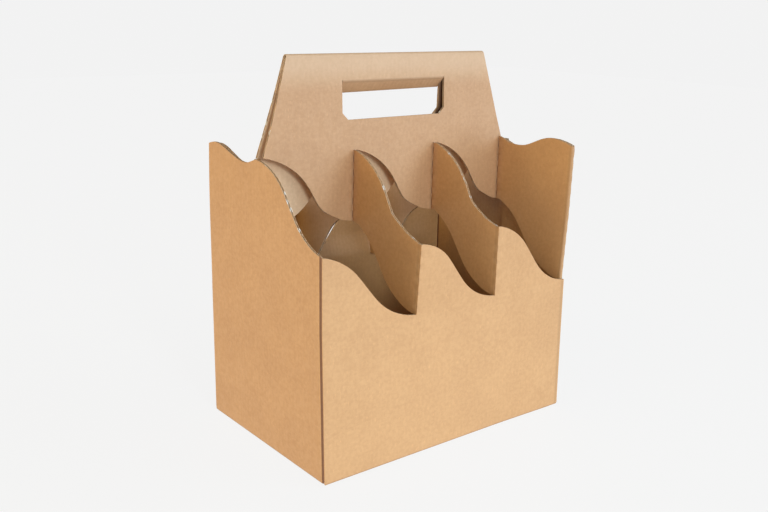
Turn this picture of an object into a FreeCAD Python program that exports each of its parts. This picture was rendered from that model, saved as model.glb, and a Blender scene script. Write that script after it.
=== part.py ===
import FreeCAD, Part
import math
import os

Vector = FreeCAD.Vector

# A bottle carrier folded and glued from one die-cut blank of corrugated board.
# It has two rows of cells with the handle between them.
# The origin is the centre of the underside, +X runs along the rows and +Z is up.
# The rear half is the front half turned half a turn about the Z axis.

# Driving dimensions, in millimetres and degrees
BOARD = 1.5             # thickness of the board
CELLS_PER_ROW = 3
CELL_PITCH = 68.0       # from one cell to the next along a row
CELL_DEPTH = 67.25      # from the middle plane to the outer face of a long wall
WALL_LOW = 94.0         # height of a long wall where its wavy edge is lowest
WALL_WAVE = 46.5        # drop of the long wall's wavy edge across one cell
DIVIDER_WAVE = 45.5     # drop of a divider's wavy edge from the handle to the wall
HANDLE_RISE = 62.0      # from the dividers' highest point to the top of the handle
HANDLE_TAPER = 20.5     # how far each end of the handle leans in by its top
HANDLE_LEAN = 2.3       # tilt of each handle panel towards the other
WAVE_ROUNDNESS = 0.95   # 1 makes a wavy edge of two arcs only, less adds a straight
WALL_SLOPES = (12.0, 5.0)           # a long wall's wave at its high and low ends
END_SLOPES = (10.0, 0.0)            # the end wall's big wave at its low and high ends
HANDLE_SLOPES = (12.0, 10.0)        # a handle lobe's wave, from free end to fold
DIVIDER_TOP_SLOPES = (12.0, 8.0)    # a divider's upper wave, from handle to wall
DIVIDER_LOW_SLOPES = (15.0, 24.0)   # a divider's lower wave, from wall to handle
LEVEL_AT_FOLD = 4.0     # level stretch between a fold and a lower wave's low end
FOLD_INSIDE = 0.5       # inside radius of an ordinary fold
TOP_FOLD_INSIDE = 0.3   # inside radius of the fold along the top of the handle
END_SETBACK = 1.0       # the end wall's cut edge stops this short of the long wall
END_WAVE_SHIFT = 7.0    # the end wall's big wave ends this far past the middle
END_WAVE_LEVEL = 2.0    # level stretch from the corner to where the big wave begins
END_DIP = (20.5, -3.6)     # small wave's low point: distance from the middle, height
END_CREST = (49.5, 4.9)    # small wave's high point, the same way
END_CORNER_RISE = 1.9      # height of the small wave where it ends at the corner
HOLE_WIDTH = 85.0
HOLE_HEIGHT = 24.5
HOLE_BELOW_TOP = 17.0   # from the top of the handle down to the hand hole
HOLE_CHAMFER = 4.5      # cut across each lower corner of the hand hole
FLAP_REACH = 10.5       # the hand hole's flap, from its fold to its second crease
FLAP_SLOPE = 47.0       # how steeply the flap falls as it passes through both panels
FLAP_TIP_LEAN = 14.0    # its turned-up end leans this far off upright, to the rear
KERF = 0.5              # gap that the cutting die leaves around the flap
HANDLE_CLEARANCE = 0.4  # between the handle's free edge and the end wall

# Sizes that follow from them
HALF_LENGTH = CELLS_PER_ROW * CELL_PITCH / 2
WALL_HIGH = WALL_LOW + WALL_WAVE
DIVIDER_HIGH = WALL_HIGH + DIVIDER_WAVE
HANDLE_TOP = DIVIDER_HIGH + HANDLE_RISE
FOLD_RADIUS = FOLD_INSIDE + BOARD
MID_FOLD_RADIUS = FOLD_INSIDE + BOARD / 2
TOP_FOLD_RADIUS = TOP_FOLD_INSIDE + BOARD
MID_TOP_FOLD_RADIUS = TOP_FOLD_INSIDE + BOARD / 2
LEAN = math.radians(HANDLE_LEAN)
CLEAR_OF_ALL = HANDLE_TOP + 10
MARGIN = 5.0            # how far a cutting solid runs past what it cuts
LINING_FRONT = END_SETBACK + BOARD - CELL_DEPTH   # middle of the end wall's tight fold
INNER_END = HALF_LENGTH - 2 * BOARD   # inner face of the glue flap on the end wall
DIVIDER_FACES = [cell * CELL_PITCH - HALF_LENGTH for cell in range(1, CELLS_PER_ROW)]


class Outline:
    """A closed outline in the XZ plane, drawn from point to point."""

    def __init__(self, x, z):
        self.start = Vector(x, 0, z)
        self.here = self.start
        self.edges = []

    def line_to(self, x, z):
        there = Vector(x, 0, z)
        self.edges.append(Part.makeLine(self.here, there))
        self.here = there

    def wave_to(self, x, z, start_slope, end_slope):
        """An S-shaped edge with a slope at each end: an arc, a straight and an arc."""
        there = Vector(x, 0, z)
        run = x - self.here.x
        rise = z - self.here.z
        start = math.radians(start_slope)
        end = math.radians(end_slope)
        sines = math.sin(start) + math.sin(end)
        cosines = math.cos(start) + math.cos(end)
        spare = abs(rise) * cosines - abs(run) * sines
        radius = WAVE_ROUNDNESS * (run ** 2 + rise ** 2) / (2 * spare)
        side = -math.copysign(radius, run)
        up = math.copysign(radius, rise)
        first_centre = self.here + Vector(side * math.sin(start), 0, up * math.cos(start))
        last_centre = there - Vector(side * math.sin(end), 0, up * math.cos(end))
        middle = (first_centre + last_centre) * 0.5
        first_turn = turn_to_tangent(first_centre, self.here, middle, radius)
        last_turn = turn_to_tangent(last_centre, there, middle, radius)
        first_end = turned_point(self.here, first_centre, first_turn)
        last_end = turned_point(there, last_centre, last_turn)
        self.edges.append(arc_through(self.here, first_centre, first_turn))
        self.edges.append(Part.makeLine(first_end, last_end))
        self.edges.append(arc_through(last_end, last_centre, -last_turn))
        self.here = there

    def curve_through(self, points):
        """A smooth curve from here through the given points."""
        stops = [self.here] + [Vector(x, 0, z) for x, z in points]
        curve = Part.BSplineCurve()
        curve.interpolate(stops)
        self.edges.append(curve.toShape())
        self.here = stops[-1]

    def prism(self, depth):
        """Close the outline and run it from the plane y = 0 to y = depth."""
        self.line_to(self.start.x, self.start.z)
        face = Part.Face(Part.Wire(self.edges))
        return face.extrude(Vector(0, depth, 0))


def turned_point(point, centre, angle):
    """The point turned about a centre in the XZ plane, by radians."""
    arm = point - centre
    x = arm.x * math.cos(angle) - arm.z * math.sin(angle)
    z = arm.x * math.sin(angle) + arm.z * math.cos(angle)
    return centre + Vector(x, 0, z)


def turn_to_tangent(centre, point, target, radius):
    """The angle from a point on a circle to where a line to the target touches it."""
    to_target = target - centre
    to_point = point - centre
    reach = math.acos(min(1.0, radius / to_target.Length))
    aim = math.atan2(to_target.z, to_target.x) - math.atan2(to_point.z, to_point.x)
    aim = math.remainder(aim, 2 * math.pi)
    return aim - math.copysign(reach, aim)


def arc_through(start, centre, angle):
    """The arc that a point draws as it turns about a centre in the XZ plane."""
    halfway = turned_point(start, centre, angle / 2)
    end = turned_point(start, centre, angle)
    return Part.Arc(start, halfway, end).toShape()


def folded_strip(points, radius):
    """The face that the board makes edge-on along a bent line in the XY plane."""
    sides = [strip_side(points, radius, offset) for offset in (-BOARD / 2, BOARD / 2)]
    near, far = sides
    caps = [
        Part.makeLine(near[0].firstVertex(True).Point, far[0].firstVertex(True).Point),
        Part.makeLine(near[-1].lastVertex(True).Point, far[-1].lastVertex(True).Point),
    ]
    edges = Part.__sortEdges__(near + far + caps)
    return Part.Face(Part.Wire(edges))


def strip_side(points, radius, offset):
    """One side of a folded strip: straights joined by arcs, offset from its middle."""
    path = [Vector(x, y, 0) for x, y in points]
    edges = []
    here = path[0] + left_of(path[0], path[1]) * offset
    for before, corner, after in zip(path, path[1:], path[2:]):
        heading = (corner - before).normalize()
        leaving = (after - corner).normalize()
        turn = heading.getAngle(leaving)
        side = math.copysign(1, heading.cross(leaving).z)
        tangent = radius * math.tan(turn / 2)
        centre = corner - heading * tangent + left_of(before, corner) * (side * radius)
        reach = radius - side * offset
        arc_start = centre - left_of(before, corner) * (side * reach)
        arc_middle = centre + (corner - centre).normalize() * reach
        arc_end = centre - left_of(corner, after) * (side * reach)
        edges.append(Part.makeLine(here, arc_start))
        edges.append(Part.Arc(arc_start, arc_middle, arc_end).toShape())
        here = arc_end
    end = path[-1] + left_of(path[-2], path[-1]) * offset
    edges.append(Part.makeLine(here, end))
    return edges


def left_of(start, end):
    """The level unit vector that points left on the way from start to end."""
    heading = (end - start).normalize()
    return Vector(-heading.y, heading.x, 0)


def upright(face, bottom, top):
    """A level face run up from one height to another."""
    solid = face.extrude(Vector(0, 0, top - bottom))
    solid.translate(Vector(0, 0, bottom))
    return solid


def across(prism, x):
    """Turn a prism so that its outline lies in the YZ plane, from x towards -X."""
    turned = prism.copy()
    turned.rotate(Vector(0, 0, 0), Vector(0, 0, 1), 90)
    turned.translate(Vector(x, 0, 0))
    return turned


def lengthwise(section, reach):
    """A section drawn in YZ order, run along X from -reach to reach."""
    face = section.copy()
    face.rotate(Vector(0, 0, 0), Vector(1, 0, 0), 90)
    face.rotate(Vector(0, 0, 0), Vector(0, 0, 1), 90)
    face.translate(Vector(-reach, 0, 0))
    return face.extrude(Vector(2 * reach, 0, 0))


def moved(shape, x, y, z):
    copy = shape.copy()
    copy.translate(Vector(x, y, z))
    return copy


def half_turn(shape):
    copy = shape.copy()
    copy.rotate(Vector(0, 0, 0), Vector(0, 0, 1), 180)
    return copy


def handle_middle(height):
    """How far from the middle plane the middle of a handle panel's board lies."""
    fold_centre = HANDLE_TOP - TOP_FOLD_RADIUS
    return MID_TOP_FOLD_RADIUS / math.cos(LEAN) + (fold_centre - height) * math.tan(LEAN)


def divider_back(height):
    """Where a divider's flat part ends, just before its fold to the handle panel."""
    return -handle_middle(height) - FOLD_RADIUS


def small_wave():
    """The gentle wave along the top of an end wall, from the middle to a corner."""
    return [
        (END_DIP[0], DIVIDER_HIGH + END_DIP[1]),
        (END_CREST[0], DIVIDER_HIGH + END_CREST[1]),
        (CELL_DEPTH, DIVIDER_HIGH + END_CORNER_RISE),
    ]


def above_long_wall():
    """What is cut away above the front wall: a wave and a step for each cell."""
    outline = Outline(-HALF_LENGTH - MARGIN, CLEAR_OF_ALL)
    outline.line_to(-HALF_LENGTH - MARGIN, WALL_HIGH)
    outline.line_to(-HALF_LENGTH, WALL_HIGH)
    for face in DIVIDER_FACES:
        outline.wave_to(face, WALL_LOW, *WALL_SLOPES)
        outline.line_to(face + FOLD_RADIUS, WALL_LOW)
        outline.line_to(face + FOLD_RADIUS, WALL_HIGH)
    outline.wave_to(HALF_LENGTH - BOARD, WALL_LOW, *WALL_SLOPES)
    outline.line_to(HALF_LENGTH + MARGIN, WALL_LOW)
    outline.line_to(HALF_LENGTH + MARGIN, CLEAR_OF_ALL)
    return moved(outline.prism(MARGIN + FOLD_RADIUS), 0, -CELL_DEPTH - MARGIN, 0)


def above_end_wall():
    """What is cut away above the left end wall: a big wave, then the small one."""
    outline = Outline(-CELL_DEPTH - MARGIN, CLEAR_OF_ALL)
    outline.line_to(-CELL_DEPTH - MARGIN, WALL_HIGH)
    outline.line_to(-CELL_DEPTH + END_WAVE_LEVEL, WALL_HIGH)
    outline.wave_to(END_WAVE_SHIFT, DIVIDER_HIGH, *END_SLOPES)
    outline.curve_through(small_wave())
    outline.line_to(CELL_DEPTH + MARGIN, outline.here.z)
    outline.line_to(CELL_DEPTH + MARGIN, CLEAR_OF_ALL)
    return across(outline.prism(MARGIN + FOLD_RADIUS), FOLD_RADIUS - HALF_LENGTH)


def wall_and_end():
    """The front wall, its glue flap on the right and the left end wall, as one bend."""
    flap_x = HALF_LENGTH - 1.5 * BOARD
    wall_y = BOARD / 2 - CELL_DEPTH
    end_x = BOARD / 2 - HALF_LENGTH
    path = [
        (flap_x, LINING_FRONT + BOARD),
        (flap_x, wall_y),
        (end_x, wall_y),
        (end_x, CELL_DEPTH - END_SETBACK),
    ]
    band = upright(folded_strip(path, MID_FOLD_RADIUS), 0, CLEAR_OF_ALL)
    above_flap = Part.makeBox(MARGIN, 2 * MARGIN, CLEAR_OF_ALL)
    above_flap = moved(above_flap, HALF_LENGTH - MARGIN, -CELL_DEPTH, WALL_LOW)
    return band.cut([above_long_wall(), above_end_wall(), above_flap])


def under_small_wave(thickness):
    """A solid under the small wave, over the front half, from y = 0 to the corner."""
    outline = Outline(0, 0)
    outline.line_to(0, DIVIDER_HIGH)
    outline.curve_through([(-y, z) for y, z in small_wave()])
    outline.line_to(-CELL_DEPTH, 0)
    return across(outline.prism(thickness), HALF_LENGTH - BOARD)


def divider_outline():
    """The side view of a divider's flat part, between its two folds."""
    front = FOLD_RADIUS + BOARD / 2 - CELL_DEPTH
    outline = Outline(front, WALL_LOW)
    outline.line_to(front + LEVEL_AT_FOLD, WALL_LOW)
    outline.wave_to(divider_back(WALL_HIGH), WALL_HIGH, *DIVIDER_LOW_SLOPES)
    outline.line_to(divider_back(DIVIDER_HIGH), DIVIDER_HIGH)
    outline.wave_to(front, WALL_HIGH, *DIVIDER_TOP_SLOPES)
    return outline


def wall_fold(face):
    """The upright fold between the front wall and a divider with its face at x."""
    wall_y = BOARD / 2 - CELL_DEPTH
    middle = face + BOARD / 2
    path = [
        (middle + FOLD_RADIUS + BOARD, wall_y),
        (middle, wall_y),
        (middle, wall_y + FOLD_RADIUS + BOARD),
    ]
    return upright(folded_strip(path, MID_FOLD_RADIUS), WALL_LOW, WALL_HIGH)


def handle_fold(face):
    """The leaning fold between a divider with its face at x and the handle panel."""
    middle = face + BOARD / 2
    reach = FOLD_RADIUS + BOARD
    path = [(middle, -reach), (middle, 0), (middle - reach, 0)]
    height = DIVIDER_WAVE + 2 * BOARD
    fold = upright(folded_strip(path, MID_FOLD_RADIUS), -BOARD, height)
    fold.rotate(Vector(0, 0, 0), Vector(1, 0, 0), -HANDLE_LEAN)
    fold.translate(Vector(0, -handle_middle(WALL_HIGH), WALL_HIGH))
    level = Part.makeBox(4 * MARGIN, CELL_DEPTH, DIVIDER_WAVE)
    return fold.common(moved(level, face - 2 * MARGIN, -CELL_DEPTH, WALL_HIGH))


def divider(face):
    """A divider whose left face is at x = face, with its folds to wall and handle."""
    slab = across(divider_outline().prism(BOARD), face + BOARD)
    return slab.fuse([wall_fold(face), handle_fold(face)])


def end_lining():
    """The glue flap and the last divider, folded flat together on the right end wall."""
    flap_back = divider_back(WALL_HIGH)
    flap = Part.makeBox(BOARD, flap_back - LINING_FRONT, CLEAR_OF_ALL)
    flap = moved(flap, INNER_END, LINING_FRONT, 0)
    outline = Outline(LINING_FRONT, WALL_LOW)
    outline.line_to(LINING_FRONT + LEVEL_AT_FOLD, WALL_LOW)
    outline.wave_to(divider_back(WALL_HIGH), WALL_HIGH, *DIVIDER_LOW_SLOPES)
    outline.line_to(divider_back(DIVIDER_HIGH), DIVIDER_HIGH)
    outline.line_to(divider_back(DIVIDER_HIGH), CLEAR_OF_ALL)
    outline.line_to(LINING_FRONT, CLEAR_OF_ALL)
    last_divider = across(outline.prism(BOARD), INNER_END)
    tight_fold = Part.makeCylinder(BOARD, CLEAR_OF_ALL - WALL_LOW)
    tight_fold = moved(tight_fold, INNER_END, LINING_FRONT, WALL_LOW)
    lining = flap.fuse([last_divider, tight_fold]).common(under_small_wave(2 * BOARD))
    return lining.fuse(handle_fold(INNER_END - BOARD))


def handle_outline():
    """The front view of the front handle panel, with a wave and a step at each cell."""
    top_half = HALF_LENGTH - HANDLE_TAPER
    left = BOARD + HANDLE_CLEARANCE - HALF_LENGTH
    outline = Outline(left, DIVIDER_HIGH)
    for face in DIVIDER_FACES + [INNER_END - BOARD]:
        fold_start = face + BOARD - FOLD_RADIUS
        outline.wave_to(fold_start - LEVEL_AT_FOLD, WALL_HIGH, *HANDLE_SLOPES)
        outline.line_to(fold_start, WALL_HIGH)
        outline.line_to(fold_start, DIVIDER_HIGH)
    outline.line_to(INNER_END, DIVIDER_HIGH)
    outline.line_to(top_half, HANDLE_TOP)
    outline.line_to(top_half, CLEAR_OF_ALL)
    outline.line_to(-top_half, CLEAR_OF_ALL)
    outline.line_to(-top_half, HANDLE_TOP)
    return outline


def hand_hole():
    """The outline of the hand hole, with a corner cut off at each lower end."""
    half = HOLE_WIDTH / 2
    top = HANDLE_TOP - HOLE_BELOW_TOP
    bottom = top - HOLE_HEIGHT
    outline = Outline(-half, top)
    outline.line_to(-half, bottom + HOLE_CHAMFER)
    outline.line_to(HOLE_CHAMFER - half, bottom)
    outline.line_to(half - HOLE_CHAMFER, bottom)
    outline.line_to(half, bottom + HOLE_CHAMFER)
    outline.line_to(half, top)
    return outline


def half_handle():
    """The front half of the handle: a leaning panel up to the fold along its top."""
    apex = HANDLE_TOP - TOP_FOLD_RADIUS + MID_TOP_FOLD_RADIUS / math.sin(LEAN)
    foot = handle_middle(WALL_LOW)
    bend = [(-foot, WALL_LOW), (0, apex), (foot, WALL_LOW)]
    section = folded_strip(bend, MID_TOP_FOLD_RADIUS)
    both = lengthwise(section, HALF_LENGTH)
    depth = foot + MARGIN
    front = moved(handle_outline().prism(depth), 0, -depth, 0)
    hole = moved(hand_hole().prism(depth), 0, -depth, 0)
    return both.common(front).cut(hole)


def hand_flap():
    """The hand hole's flap: back and down through both panels, then turned up."""
    top = HANDLE_TOP - HOLE_BELOW_TOP
    root_height = top + FOLD_RADIUS + BOARD
    root = (-handle_middle(root_height), root_height)
    hinge = (-handle_middle(top), top)
    slope = math.radians(FLAP_SLOPE)
    crease_y = hinge[0] + FLAP_REACH * math.cos(slope)
    crease_z = hinge[1] - FLAP_REACH * math.sin(slope)
    tip_length = HOLE_HEIGHT - KERF - FLAP_REACH
    lean = math.radians(FLAP_TIP_LEAN)
    tip = (crease_y + tip_length * math.sin(lean), crease_z + tip_length * math.cos(lean))
    section = folded_strip([root, hinge, (crease_y, crease_z), tip], MID_FOLD_RADIUS)
    half = HOLE_WIDTH / 2 - KERF
    flap = lengthwise(section, half)
    corner = Outline(half - HOLE_CHAMFER - MARGIN, tip_length + MARGIN)
    corner.line_to(half + MARGIN, tip_length - HOLE_CHAMFER - MARGIN)
    corner.line_to(half + MARGIN, tip_length + MARGIN)
    right = moved(corner.prism(2 * BOARD), 0, -BOARD, 0)
    cuts = [right, half_turn(right)]
    for cut in cuts:
        cut.rotate(Vector(0, 0, 0), Vector(1, 0, 0), -FLAP_TIP_LEAN)
        cut.translate(Vector(0, crease_y, crease_z))
    return flap.cut(cuts)


def floor_panel():
    """The floor, a plain panel between the four walls."""
    length = 2 * HALF_LENGTH - BOARD
    depth = 2 * CELL_DEPTH - BOARD
    return moved(Part.makeBox(length, depth, BOARD), -length / 2, -depth / 2, 0)


def bottom_edge_cut(length, reach):
    """What rounds off a bottom edge: a square bar along X less a round one."""
    bar = Part.makeBox(length, FOLD_RADIUS, FOLD_RADIUS)
    rod_start = Vector(0, FOLD_RADIUS, FOLD_RADIUS)
    rod = Part.makeCylinder(FOLD_RADIUS, length, rod_start, Vector(1, 0, 0))
    return moved(bar.cut(rod), -length / 2, -reach, 0)


def half_carrier():
    """All of the front half: walls, dividers, end lining and handle panel."""
    pieces = [divider(face) for face in DIVIDER_FACES]
    pieces += [end_lining(), half_handle()]
    return wall_and_end().fuse(pieces)


def carrier():
    front = half_carrier()
    whole = front.fuse([half_turn(front), floor_panel(), hand_flap()])
    along = bottom_edge_cut(2 * HALF_LENGTH, CELL_DEPTH)
    end = bottom_edge_cut(2 * CELL_DEPTH, HALF_LENGTH)
    end.rotate(Vector(0, 0, 0), Vector(0, 0, 1), 90)
    return whole.cut([along, half_turn(along), end, half_turn(end)]).removeSplitter()


def main():
    os.makedirs("parts", exist_ok=True)
    body = carrier()
    box = body.BoundBox
    print("solids", len(body.Solids), "valid", body.isValid(), "volume", round(body.Volume))
    print("size", round(box.XLength, 2), round(box.YLength, 2), round(box.ZLength, 2))
    body.exportStep("parts/bottle_carrier.step")


main()
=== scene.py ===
import copy
import math

import bpy
import numpy as np
from bpy.props import FloatProperty, FloatVectorProperty, PointerProperty
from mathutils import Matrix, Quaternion, Vector


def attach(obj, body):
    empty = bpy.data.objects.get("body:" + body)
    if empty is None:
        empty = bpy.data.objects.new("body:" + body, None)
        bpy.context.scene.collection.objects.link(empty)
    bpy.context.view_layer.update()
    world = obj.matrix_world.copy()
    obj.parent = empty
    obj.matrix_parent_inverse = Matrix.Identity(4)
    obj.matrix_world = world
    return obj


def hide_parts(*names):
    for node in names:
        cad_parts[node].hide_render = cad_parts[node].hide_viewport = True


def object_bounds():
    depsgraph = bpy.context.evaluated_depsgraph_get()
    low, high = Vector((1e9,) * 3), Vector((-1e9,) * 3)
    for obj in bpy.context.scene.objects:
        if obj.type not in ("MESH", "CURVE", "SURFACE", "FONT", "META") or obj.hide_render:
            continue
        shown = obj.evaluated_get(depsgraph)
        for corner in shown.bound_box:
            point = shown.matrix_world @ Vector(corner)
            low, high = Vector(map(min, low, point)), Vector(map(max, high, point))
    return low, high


# A bottle carrier folded from one blank of fine-fluted kraft board, ply by ply: the outer
# liner, the inner liner and the fluting between them, all open to view at the cut edges.
# Both halves are made as the front one, and the rear half is then turned half a turn about
# Z. They differ a little in how their lobes, dividers, end walls and linings were cut.

bl_info = {
    "name": "Corrugated Bottle Carrier",
    "version": (1, 0, 0),
    "blender": (4, 5, 0),
    "location": "3D View > Sidebar > Carrier",
    "description": "Builds a folded six-cell bottle carrier of fine-fluted kraft board",
    "category": "Object",
}

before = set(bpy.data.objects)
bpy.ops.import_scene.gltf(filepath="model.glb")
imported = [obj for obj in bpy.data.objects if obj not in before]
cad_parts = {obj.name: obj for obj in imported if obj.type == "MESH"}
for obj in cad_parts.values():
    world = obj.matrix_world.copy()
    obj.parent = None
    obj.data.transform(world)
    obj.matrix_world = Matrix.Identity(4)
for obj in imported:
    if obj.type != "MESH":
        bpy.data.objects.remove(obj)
CAD_LOW, CAD_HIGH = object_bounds()
NODE = "bottle_carrier"
MM = 0.001

CELLS_PER_ROW = 3
OUTER, INNER, FLUTING = "outer_liner", "inner_liner", "fluting"
FLUTE_CRUSH = 0.75        # how much of a flute's height a fold takes
SMOOTH_ANGLE = 35         # in degrees, edges sharper than this stay sharp
WELD = 0.02 * MM          # plies' sheets closer than this are one sheet
FOLD_STEPS = 8            # faces round a fold, half as many for the fluting
BOTTOM_STEPS = 6          # faces round the walls' bottom edge, half as many again
TOP_ROWS, TOP_FLUTE_ROWS = 9, 4   # rows of points round a panel's half of the top fold
ROW_STEP = 4 * MM         # height of a liner's faces
FLUTE_FACES = 8           # faces across one flute
FLUTE_ROW_STEP = 14 * MM  # height of the fluting's faces
FLUTE_ROWS = 10           # rows of the fluting's faces along a divider
PERFORATED_ROWS = 32      # rows of a liner's, fine enough for a perforated fold's slits
CREASE_STEPS = (0.3, 0.6, 0.9, 1.2, 1.6, 2.4)   # in mm from a corner, stops for its crease
ALONG, CREASE, LEAN = 4, 6, 7   # where a station keeps these values
FLAP_FOLD_STEPS = 6       # faces round each of the hand flap's folds
FLAP_ROWS = 4             # rows of faces between them
ON_HANDLE = 0.99          # a station that leans more than this is on the handle


# ---------------------------------------------------------------- sizes and colours

def length(name, description, millimetres):
    return FloatProperty(
        name=name, description=description, default=millimetres * MM,
        min=0.0, unit="LENGTH", subtype="DISTANCE", precision=4)


def angle(name, description, degrees):
    return FloatProperty(
        name=name, description=description, default=math.radians(degrees),
        unit="ROTATION", subtype="ANGLE")


def angles(name, description, high, low):
    return FloatVectorProperty(
        name=name, description=description, unit="ROTATION",
        default=(math.radians(high), math.radians(low)), size=2)


def amount(name, description, default):
    return FloatProperty(name=name, description=description, default=default, min=0.0)


def colour(name, description, red, green, blue):
    return FloatVectorProperty(
        name=name, description=description, default=(red, green, blue),
        size=3, min=0.0, max=1.0, subtype="COLOR")


class CarrierSizes(bpy.types.PropertyGroup):
    """The sizes that the folded board is made to."""

    half_length: length("Half length", "From the middle to an end wall", CAD_HIGH.x / MM)
    half_depth: length("Half depth", "From the middle to a long wall", CAD_HIGH.y / MM)
    handle_top: length("Handle top", "Height of the top fold", CAD_HIGH.z / MM)
    board: length("Board", "Thickness of the board", 1.5)
    liner: length("Liner", "Thickness of each liner", 0.28)
    medium: length("Fluting", "Thickness of the fluted paper", 0.22)
    flute_pitch: length("Flute pitch", "From one flute to the next", 3.2)
    cell_pitch: length("Cell pitch", "From one cell to the next", 68.0)
    wall_low: length("Wall low", "A long wall's lowest height", 94.0)
    wall_wave: length("Wall wave", "Drop of a long wall's wave", 46.5)
    divider_wave: length("Divider wave", "Drop of a divider's wave", 45.5)
    roundness: FloatProperty(
        name="Wave roundness", description="1 makes a wave of two arcs only",
        default=0.95, min=0.5, max=1.0)
    wall_slopes: angles("Wall slopes", "A long wall's wave at its high and low ends", 12, 5)
    end_slopes: angles("End slopes", "The end wall's big wave, high and low", 0, 10)
    lobe_slopes: angles("Lobe slopes", "A rear lobe's wave, from its end", 20, 10)
    upper_slopes: angles("Upper slopes", "A divider's upper wave, high and low", 12, 8)
    lower_slopes: angles("Lower slopes", "A divider's lower wave, high and low", 24, 15)
    level_end: length("Level end", "Level stretch of a lower wave beside a fold", 4.0)
    fold_inside: length("Fold inside", "Inside radius of a fold", 0.5)
    top_fold_inside: length("Top fold inside", "Inside radius of the top fold", 0.3)
    handle_lean: angle("Handle lean", "Tilt of each handle panel", 2.3)
    handle_taper: length("Handle taper", "How far the handle's ends lean in", 20.5)
    handle_slip: length("Handle slip", "How far the top fold sits to the left", 1.5)
    handle_clearance: length("Handle clearance", "Gap at the handle's free end", 0.4)
    end_setback: length("End setback", "The end wall stops short of the corner", 3.3)
    end_lower: length("End lower", "The right end wall's front is below its lining", 1.5)
    crest_lower: length("Crest lower", "How far an end wall's crest has sunk", 1.0)
    crest_back: length("Crest back", "How far the right lining's crest sits back", 5.0)
    crest_rise: length("Crest rise", "How far that crest stands above the end wall", 0.7)
    lining_lower: length("Lining lower", "The left end's lining is below its wall", 2.0)
    lining_setback: length("Lining setback", "The end's tight fold from the corner", 1.0)
    end_shift: length("End shift", "The end wall's wave ends past the middle", 7.0)
    end_level: length("End level", "Level stretch of that wave at the front", 2.0)
    glue_gap: length("Glue gap", "Between two glued plies", 0.15)
    hole_width: length("Hole width", "Width of the hand hole", 85.0)
    hole_height: length("Hole height", "Height of the hand hole", 24.5)
    hole_below: length("Hole below", "From the top fold to the hole", 17.0)
    hole_chamfer: length("Hole chamfer", "Cut across its lower corners", 4.5)
    hole_wider: length("Hole wider", "The front hole runs further to the right", 1.2)
    hole_lower: length("Hole lower", "The rear hole sits lower", 0.9)
    flap_sag: length("Flap sag", "How much lower the flap hangs on the left", 1.6)
    flap_reach: length("Flap reach", "The flap's first panel", 10.5)
    flap_slope: angle("Flap slope", "How steeply the flap falls", 47.0)
    flap_lean: angle("Flap lean", "Lean of the flap's turned-up end", 14.0)
    kerf: length("Kerf", "Gap round the flap", 0.5)
    slit_pitch: length("Slit pitch", "From one slit to the next", 9.0)
    slit_depth: length("Slit depth", "How far a slit lets the fold sink", 0.45)
    fold_sharpness: FloatProperty(
        name="Fold sharpness", description="1 brings a sharp fold out to a square corner",
        default=0.85, min=0.0, max=1.0)
    score_depth: length("Score depth", "Depth of the crease beside a corner", 0.55)
    floor_seam: length("Floor seam", "Gap where the floor panels meet", 0.8)
    handle_back: length("Handle back", "How far the handle has settled to the rear", 3.0)
    lobe_shift: length("Lobe shift", "How far right of a cell's middle a lobe falls", 0.4)
    lobe_rise: length("Lobe rise", "How far the front lobes have risen", 1.3)
    handle_twist: length("Handle twist", "How far the lobes' low ends sit to the left", 1.8)
    corner_left: length("Corner left", "How far the front left corner is pushed out", 1.9)
    end_flare: length("End flare", "How far the right end's top corner leans out", 2.1)
    foot_out: length("Foot out", "How far the front wall's foot stands out", 2.5)
    corner_forward: length("Corner forward", "How far the right corner stands out", 2.0)
    rear_spread: length("Rear spread", "How far the rear panel's low end leans back", 1.6)
    wall_bulge: length("Wall bulge", "How far the front wall bows out", 3.45)
    rear_bulge: length("Rear bulge", "How far the rear wall bows out", 4.0)


class BoardColours(bpy.types.PropertyGroup):
    """The colours of the papers."""

    outer: colour("Outer liner", "Warm kraft of the outside", 0.62, 0.335, 0.141)
    outer_deep: colour("Outer deep", "The outer liner's darker fibres", 0.50, 0.252, 0.098)
    inner: colour("Inner liner", "Greyer kraft of the inside", 0.465, 0.24, 0.085)
    inner_deep: colour("Inner deep", "The inner liner's darker fibres", 0.38, 0.185, 0.064)
    flutes: colour("Fluting", "Brown of the fluted paper", 0.46, 0.30, 0.17)
    torn: colour("Torn edge", "Pale fibres of a cut edge", 0.62, 0.47, 0.33)
    floor: colour("Floor", "Studio floor", 0.02, 0.02, 0.02)


class StudioSettings(bpy.types.PropertyGroup):
    """The studio lights."""

    front: amount("Front", "Watts of the front spot", 82.0)
    key: amount("Key", "Watts of the high right light", 6.0)
    low_key: amount("Low key", "Watts of the low right light", 9.0)
    fill: amount("Fill", "Watts of the left light", 7.6)
    high_fill: amount("High fill", "Watts of the high left light", 5.2)
    cool: colour("Cool", "Tint of the front and right lights", 0.76, 0.91, 1.0)
    warm: colour("Warm", "Tint of the left lights", 0.98, 0.78, 0.33)
    surround: amount("Surround", "Light from all round", 0.29)
    backdrop: amount("Backdrop", "Brightness behind the carrier", 0.89)
    floor_glow: amount("Floor glow", "Brightness of the lit floor", 0.86)


# Corners in millimetres, across and up, and their radii, where a front lobe and a front
# divider fall: a long shoulder, a steep fall and a soft foot. A lobe's are measured from
# the middle of its cell, a divider's from the middle plane.
LOBE_FALL = ((-33, 186.3), (-9.2, 179.1), (8.6, 149.3), (24.2, 141.4), (34.7, 139.5))
LOBE_RADII = (50, 20, 15)
DIVIDER_FALL = ((6.3, 186), (27.7, 179.6), (42.7, 152), (55.5, 143.8), (64.5, 140.5))
DIVIDER_RADII = (50, 12, 12)

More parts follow.
